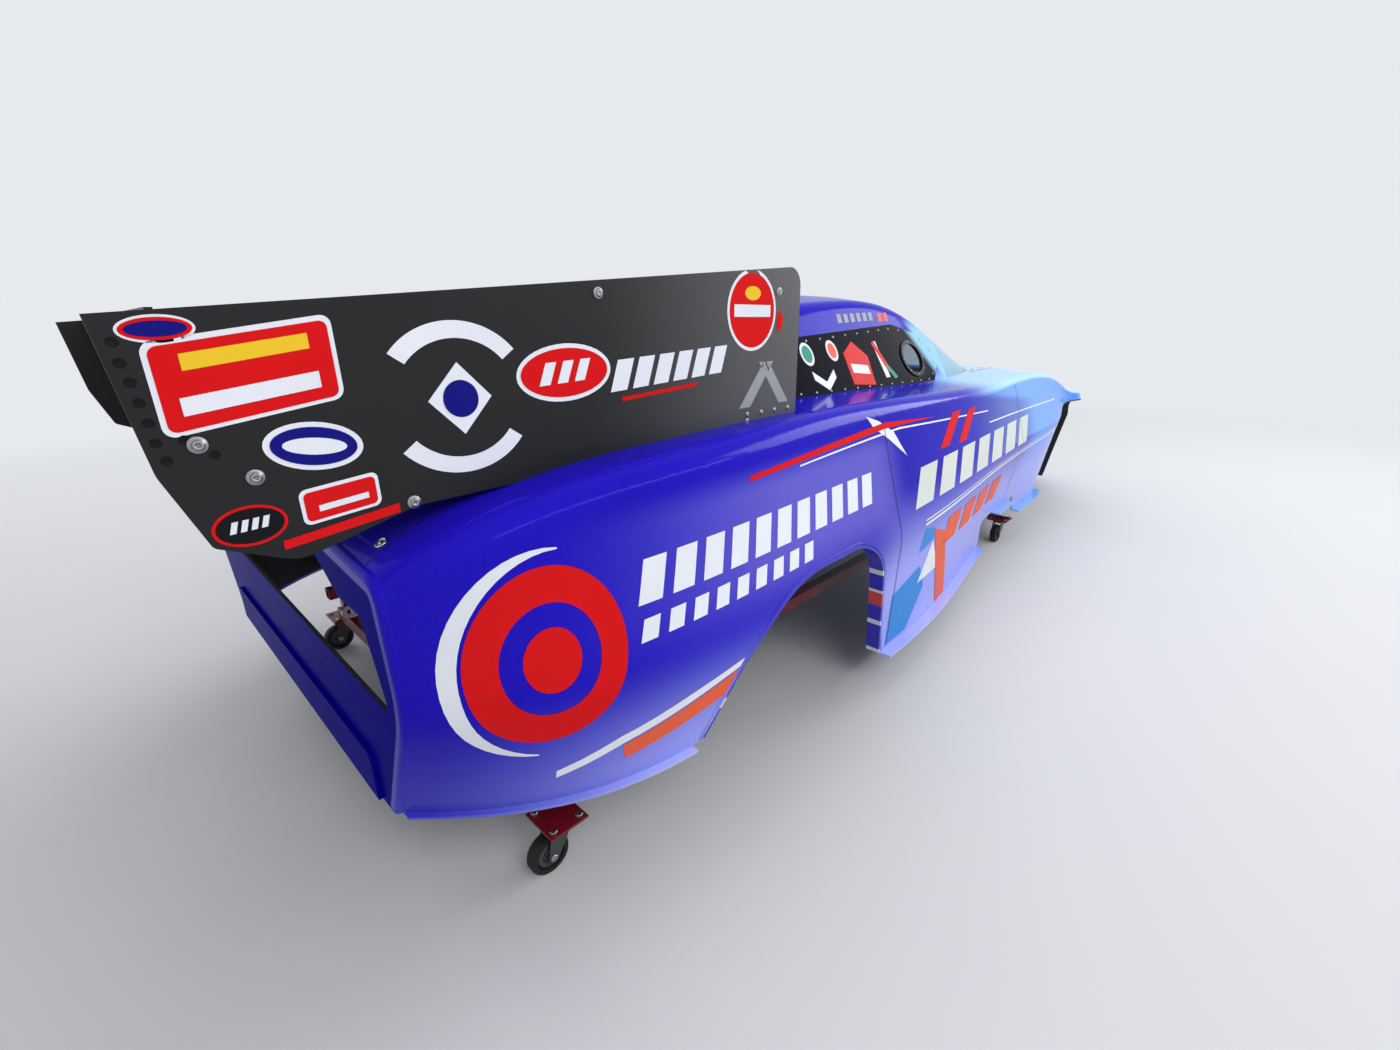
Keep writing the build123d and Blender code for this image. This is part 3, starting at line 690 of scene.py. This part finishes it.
film("plate_marks", white_film, [
    [(-1160, 1118), (-1005, 1142), (-1005, 1164), (-1160, 1140)],
    *slanted_row((-660, 1116), (-545, 1122), 40, 16, 3, 0.6),
    [(-120, 1236), (20, 1236), (20, 1264), (-120, 1264)],
    [(-1040, 968), (-972, 975), (-972, 984), (-1040, 977)],
    oval((-1028, 1062), 40, 12, -8),
], plates, MARK_LAYER)
film("plate_yellow", yellow_film, [
    [(-1150, 1172), (-1010, 1194), (-1010, 1214), (-1150, 1192)],
    oval((-50, 1290), 30, 16),
], plates, INSET_LAYER)
film("plate_black_oval", black_film, [oval((-1123, 967), 39, 24, 2)], plates, INSET_LAYER)
film("plate_oval_mark", white_film, slanted_row((-1148, 960), (-1100, 962), 16, 5, 4, 0.6), plates,
     MARK_LAYER)
film("plate_grey", grey_film, [
    [(-96, 1018), (-52, 1018), (40, 1128), (0, 1128)],
    [(70, 1018), (112, 1018), (20, 1128), (-20, 1128)],
], plates, UNDER_LAYER)

# Stickers on the side windows
film("window_white", white_film, [
    oval((538, 1118), 38, 38), oval((705, 1124), 36, 36),
    [(530, 1034), (600, 996), (670, 1034), (670, 1062), (600, 1024), (530, 1062)],
    [(1040, 1010), (1075, 1010), (1050, 1150), (1020, 1140)],
], glass_sides)
film("window_red", red_film, [
    [(775, 1002), (935, 990), (948, 1095), (862, 1152), (775, 1112)],
    [(1075, 1030), (1110, 1020), (1035, 1150), (1010, 1140)],
], glass_sides, WINDOW_LAYER)
film("window_dots", teal_film, [
    oval((538, 1118), 28, 28),
    [(1110, 1000), (1140, 1008), (1085, 1060), (1070, 1050)],
], glass_sides, UPPER_LAYER)
film("window_orange", orange_film, [oval((705, 1124), 26, 26)], glass_sides, WINDOW_LAYER)
film("window_bar", white_film, [[(800, 1042), (922, 1030), (922, 1062), (800, 1074)]], glass_sides,
     FINE_LAYER)


# Fittings: rivets, bolts, holes, seams and caster parts

def turned_to(normal):
    """A matrix that turns +Z towards the normal."""
    return normal.to_track_quat("Z", "Y").to_matrix().to_4x4()


def lathe(target, spot, normal, profile, steps):
    """Adds a turned shape. The profile lists radius and height in metres, from the foot inwards."""
    place = Matrix.Translation(spot) @ turned_to(normal)
    rings = []
    for radius, height in profile:
        if radius == 0.0:
            rings.append([target.verts.new(place @ Vector((0, 0, height)))])
            continue
        ring = []
        for step in range(steps):
            angle = 2 * math.pi * (step + 0.5) / steps
            point = Vector((radius * math.cos(angle), radius * math.sin(angle), height))
            ring.append(target.verts.new(place @ point))
        rings.append(ring)
    for low, high in zip(rings, rings[1:]):
        for step in range(steps):
            following = (step + 1) % steps
            if len(high) == 1:
                target.faces.new((low[step], low[following], high[0]))
            else:
                target.faces.new((low[step], low[following], high[following], high[step]))


# Profiles, as shares of a fitting's radius
RIVET = [(1.0, 0.0), (1.0, 0.15), (0.86, 0.42), (0.5, 0.62), (0.0, 0.68)]
WASHER_BOLT = [(1.0, 0.0), (1.0, 0.14), (0.93, 0.2), (0.62, 0.2), (0.60, 0.5), (0.50, 0.6), (0.26, 0.6),
               (0.24, 0.3), (0.0, 0.3)]
HOLE = [(1.0, 0.0), (0.98, 0.09), (0.80, 0.1), (0.70, 0.02), (0.0, 0.02)]
QUARTER_TURN = [(1.0, 0.0), (0.97, 0.14), (0.82, 0.2), (0.74, 0.1), (0.3, 0.1), (0.26, 0.18), (0.0, 0.18)]
BOLT_HEAD = [(1.0, 0.0), (1.0, 0.5), (0.88, 0.62), (0.0, 0.62)]
AXLE_NUT = [(1.0, 0.0), (1.0, 0.55), (0.85, 0.7), (0.0, 0.7)]
HUB_FACE = [(1.0, 0.0), (1.0, 0.05), (0.9, 0.1), (0.5, 0.04), (0.45, 0.14), (0.2, 0.14)]
HEX = 6


def fittings(name, material, profile, radius, spots, steps=20, body="root"):
    """One piece made of the same turned fitting at each spot, which is a point and a normal.

    Fittings of up to eight steps round, such as hexagon heads, keep their corners.
    """
    target = bmesh.new()
    scaled = [(share * radius / 1000, height * radius / 1000) for share, height in profile]
    for spot, normal in spots:
        lathe(target, spot, normal, scaled, steps)
    for face in target.faces:
        face.smooth = steps > 8
    mesh_piece(name, target, material, body)


def on(canvases, places):
    """The spots under the given places on each canvas."""
    found = [canvas.touch(first / 1000, second / 1000) for canvas in canvases for first, second in places]
    return [spot for spot in found if spot]


def along_outline(points, pitch, inset):
    """Places at an even pitch along a closed outline, moved in by the inset."""
    middle = [sum(point[axis] for point in points) / len(points) for axis in (0, 1)]
    places = []
    for first, last in zip(points, points[1:] + points[:1]):
        run, rise = last[0] - first[0], last[1] - first[1]
        length = math.hypot(run, rise)
        inward = (-rise / length, run / length)
        if inward[0] * (middle[0] - first[0]) + inward[1] * (middle[1] - first[1]) < 0:
            inward = (-inward[0], -inward[1])
        count = max(1, round(length / pitch))
        for number in range(count):
            share = (number + 0.5) / count
            places.append((first[0] + run * share + inward[0] * inset,
                           first[1] + rise * share + inward[1] * inset))
    return places


plate_holes = [(-1204, 1207), (-1203, 1184), (-1199, 1162), (-1197, 1138), (-1194, 1114), (-1193, 1090),
               (-1188, 1067), (-1166, 1090), (-1140, 1067)]
plate_washers = [(-1155, 1082), (-1105, 1031), (-908, 953), (-516, 1278), (56, 1296)]
plate_studs = [(along, height) for along in (-63, -5, 52, 112) for height in (984, 1000)]
window_outline = [(190, 985), (330, 1165), (1250, 1212), (1560, 1152), (1612, 1055), (1480, 960)]
fittings("plate_holes", port_black, HOLE, 6.0, on(plates, plate_holes))
fittings("plate_washers", zinc, WASHER_BOLT, 11.0, on(plates, plate_washers), 24)
fittings("plate_studs", zinc, WASHER_BOLT, 6.5, on(plates, plate_studs))
fittings("window_rivets", zinc, RIVET, 5.0, on(glass_sides, along_outline(window_outline, 92, 16)))
port_places = oval(PORT_MIDDLE, *PORT_SCREW_OVAL, steps=8)
fittings("port_screws", zinc, RIVET, 4.0, on(glass_sides, port_places), 12)
hood_edge = [(1960 + 175 * step, side * (560 - 12 * step)) for step in range(9) for side in SIDES.values()]
deck_edge = [(-950 + 175 * step, side * 722) for step in range(7) for side in SIDES.values()]
cowl_edge = [(1925, across) for across in range(-450, 451, 150)]
upper_places = hood_edge + deck_edge + cowl_edge
fittings("hood_fasteners", machined, QUARTER_TURN, 11.0, on([upper], upper_places), 24)
shield_places = [(2012, across) for across in range(-480, 481, 96)]
fittings("shield_rivets", zinc, RIVET, 5.0, on([shield], shield_places))


def seams(*lines, width=3):
    """Narrow outlines along lines of points."""
    outlines = []
    for points in lines:
        for first, last in zip(points, points[1:]):
            run, rise = last[0] - first[0], last[1] - first[1]
            length = math.hypot(run, rise)
            across, up = -rise / length * width / 2, run / length * width / 2
            outlines.append([(first[0] - across, first[1] - up), (last[0] - across, last[1] - up),
                             (last[0] + across, last[1] + up), (first[0] + across, first[1] + up)])
    return outlines


film("side_seams", seam_dark, seams(
    [(500, 160), (500, 905), (470, 950)],
    [(1980, 325), (1980, 930)],
    [(3529, 160), (3529, 700)],
), body_sides, FINE_LAYER)
film("top_seams", seam_dark, seams(
    *mirrored([(-985, 742), (150, 742)]),
    *mirrored([(1900, 590), (3530, 480)]),
    [(1900, -590), (1900, -535)],
    [(1900, 535), (1900, 590)],
    [(3530, -650), (3530, 650)],
), [upper], UPPER_LAYER)

# Nose graphics: a dark mouth and pale lamp shapes
film("nose_mouth", black_film, [
    [(-255, 215), (255, 215), (290, 262), (250, 322), (-250, 322), (-290, 262)],
], [nose_view])
film("nose_lamps", white_film, [
    [(side * 330, 500), (side * 560, 560), (side * 590, 612), (side * 350, 548)] for side in SIDES.values()
], [nose_view], WHITE_LAYER)
film("nose_lamp_rims", black_film, [
    [(side * 318, 488), (side * 570, 552), (side * 606, 624), (side * 338, 560)] for side in SIDES.values()
], [nose_view], UNDER_LAYER)


def bead(name, material, canvases, points, radius, steps=6, flatness=0.7):
    """A thin rounded bead on the surface along a line of points."""
    target = bmesh.new()
    for canvas in canvases:
        found = [canvas.touch(first / 1000, second / 1000) for first, second in points]
        found = [spot for spot in found if spot]
        rings = []
        for number, (spot, normal) in enumerate(found):
            before, after = found[max(number - 1, 0)][0], found[min(number + 1, len(found) - 1)][0]
            across = (after - before).normalized().cross(normal)
            ring = []
            for step in range(steps):
                angle = 2 * math.pi * step / steps
                offset = across * math.cos(angle) + normal * math.sin(angle) * flatness
                ring.append(target.verts.new(spot + offset * radius / 1000))
            rings.append(ring)
        for low, high in zip(rings, rings[1:]):
            for step in range(steps):
                following = (step + 1) % steps
                target.faces.new((low[step], high[step], high[following], low[following]))
        for ring in (rings[0][::-1], rings[-1]):
            target.faces.new(ring)
    bmesh.ops.recalc_face_normals(target, faces=target.faces[:])
    for face in target.faces:
        face.smooth = len(face.verts) == 4
    mesh_piece(name, target, material)


rear_arch_edge = [(-427, 306), (-388, 361), (-347, 419), (-318, 456), (-282, 492), (-245, 518), (-196, 555),
                  (-162, 571), (-115, 590), (-66, 603), (-17, 611), (33, 614), (201, 614), (227, 613),
                  (252, 608), (276, 600), (296, 590), (321, 578), (341, 562), (360, 545), (375, 525),
                  (389, 505), (399, 484), (406, 461), (412, 439), (425, 367), (439, 295), (452, 223),
                  (465, 155)]
bead("arch_beads", paint, body_sides, rear_arch_edge, 5.0)


def beside(middle, aside):
    """A spot on each side of a point, looking away from it."""
    return [(middle + Vector((0, way * aside / 1000, 0)), Vector((0, way, 0))) for way in SIDES.values()]


def caster_details():
    """Plate bolts, axle nuts and hub faces of the four casters."""
    up = Vector((0, 0, 1))
    bolts = []
    for along in KING_PIN_ALONG.values():
        for side in SIDES.values():
            for ahead, aside in BOLT_PLACES:
                across = (side * KING_PIN_ASIDE + aside) / 1000
                bolts.append((Vector((at((along + ahead) / 1000), across, PLATE_TOP_UP / 1000)), up))
    fittings("caster_bolts", zinc, BOLT_HEAD, 9.0, bolts, HEX)
    for end, along in KING_PIN_ALONG.items():
        for side_name, side in SIDES.items():
            caster = f"{end}_{side_name}"
            axle = Vector((at((along - CASTER_TRAIL) / 1000), side * KING_PIN_ASIDE / 1000, AXLE_UP / 1000))
            nuts = beside(axle, NUT_ASIDE)
            fittings(f"axle_nuts_{caster}", zinc, AXLE_NUT, 9.5, nuts, HEX, f"fork_{caster}")
            hubs = beside(axle, HUB_ASIDE)
            fittings(f"wheel_hub_{caster}", fork_dark, HUB_FACE, 33.0, hubs, 32, f"wheel_{caster}")


caster_details()


# Floor, light and camera

def floor():
    """A pale plain floor that fades into the backdrop's colour far off."""
    bpy.ops.mesh.primitive_plane_add(size=60, location=(0, 0, 0))
    plane = bpy.context.object
    plane.name = "floor"
    shader = Shader("floor_pale", Specular_IOR_Level=0.2)
    shader.colour(shader.mix(shader.noise(0.8), (0.60, 0.60, 0.60), (0.57, 0.57, 0.58)))
    shader.roughness(0.75)
    reach = shader.add("ShaderNodeVectorMath")
    reach.operation = "LENGTH"
    shader.link(shader.place, reach.inputs[0])
    far_off = shader.ramp(reach.outputs["Value"], 2.6, 9.0)
    path = shader.add("ShaderNodeLightPath")
    seen = shader.math("MAXIMUM", path.outputs["Is Camera Ray"], path.outputs["Is Glossy Ray"])
    haze = shader.add("ShaderNodeEmission")
    haze.inputs["Color"].default_value = BACKDROP
    blend = shader.add("ShaderNodeMixShader")
    shader.link(shader.product(far_off, seen), blend.inputs[0])
    shader.link(shader.surface.outputs[0], blend.inputs[1])
    shader.link(haze.outputs[0], blend.inputs[2])
    shader.link(blend.outputs[0], shader.tree.nodes["Material Output"].inputs["Surface"])
    plane.data.materials.append(shader.material)


def lamp(name, place, target, size, power, shown, colour=(1, 1, 1)):
    """A large soft lamp. The shown ones are mirrored in the gloss."""
    data = bpy.data.lights.new(name, "AREA")
    data.shape = "RECTANGLE"
    data.size, data.size_y = size
    data.energy = power
    data.color = colour
    lamp_object = bpy.data.objects.new(name, data)
    lamp_object.location = place
    aim = Vector(target) - Vector(place)
    lamp_object.rotation_euler = aim.to_track_quat("-Z", "Y").to_euler()
    lamp_object.visible_glossy = shown
    bpy.context.collection.objects.link(lamp_object)


def world():
    """Even pale surroundings. Camera, glossy and transmitted rays meet the plain backdrop colour."""
    scene_world = bpy.data.worlds.new("studio")
    bpy.context.scene.world = scene_world
    scene_world.use_nodes = True
    tree = scene_world.node_tree
    background = tree.nodes["Background"]
    background.inputs["Color"].default_value = (0.86, 0.89, 0.95, 1)
    background.inputs["Strength"].default_value = 0.55
    seen = tree.nodes.new("ShaderNodeBackground")
    seen.inputs["Color"].default_value = BACKDROP
    seen.inputs["Strength"].default_value = 1.0
    path = tree.nodes.new("ShaderNodeLightPath")
    either = tree.nodes.new("ShaderNodeMath")
    either.operation = "MAXIMUM"
    any_seen = tree.nodes.new("ShaderNodeMath")
    any_seen.operation = "MAXIMUM"
    mix = tree.nodes.new("ShaderNodeMixShader")
    for output, target in ((path.outputs["Is Camera Ray"], either.inputs[0]),
                           (path.outputs["Is Transmission Ray"], either.inputs[1]),
                           (either.outputs[0], any_seen.inputs[0]),
                           (path.outputs["Is Glossy Ray"], any_seen.inputs[1]),
                           (any_seen.outputs[0], mix.inputs[0]),
                           (background.outputs[0], mix.inputs[1]),
                           (seen.outputs[0], mix.inputs[2]),
                           (mix.outputs[0], tree.nodes["World Output"].inputs["Surface"])):
        tree.links.new(output, target)


def camera():
    """The photograph's own viewpoint: behind the right rear corner, looking forward and down."""
    data = bpy.data.cameras.new("camera")
    data.sensor_fit = "HORIZONTAL"
    data.sensor_width = SENSOR
    data.lens = FOCAL_PIXELS / PHOTO_WIDTH * SENSOR
    view = bpy.data.objects.new("camera", data)
    forward = Vector((math.cos(CAMERA_YAW) * math.cos(CAMERA_DOWN),
                      math.sin(CAMERA_YAW) * math.cos(CAMERA_DOWN), -math.sin(CAMERA_DOWN)))
    level = Vector((math.sin(CAMERA_YAW), -math.cos(CAMERA_YAW), 0))
    down = forward.cross(level)
    right = math.cos(CAMERA_ROLL) * level + math.sin(CAMERA_ROLL) * down
    up = -(math.cos(CAMERA_ROLL) * down - math.sin(CAMERA_ROLL) * level)
    turn = Matrix((right, up, -forward)).transposed().to_4x4()
    view.matrix_world = Matrix.Translation(CAMERA_PLACE) @ turn
    bpy.context.collection.objects.link(view)
    bpy.context.scene.camera = view


floor()
world()
camera()
lamp("key_lamp", (-3.5, -6.0, 5.5), (0.0, -0.8, 0.6), (5.0, 3.0), 210, False)
lamp("top_lamp", (0.5, 0.5, 6.5), (0.0, 0.0, 0.8), (6.0, 4.0), 180, False)
lamp("front_lamp", (7.0, -3.5, 4.5), (1.2, -0.6, 0.6), (4.0, 3.0), 260, True, (0.95, 0.98, 1.0))
lamp("strip_lamp", (0.2, -4.6, 3.4), (0.0, -0.9, 0.8), (7.0, 0.35), 60, True)
lamp("left_lamp", (-2.0, 6.0, 4.5), (0.0, 0.6, 0.6), (5.0, 3.0), 130, False)

bpy.context.scene.view_settings.view_transform = "Standard"
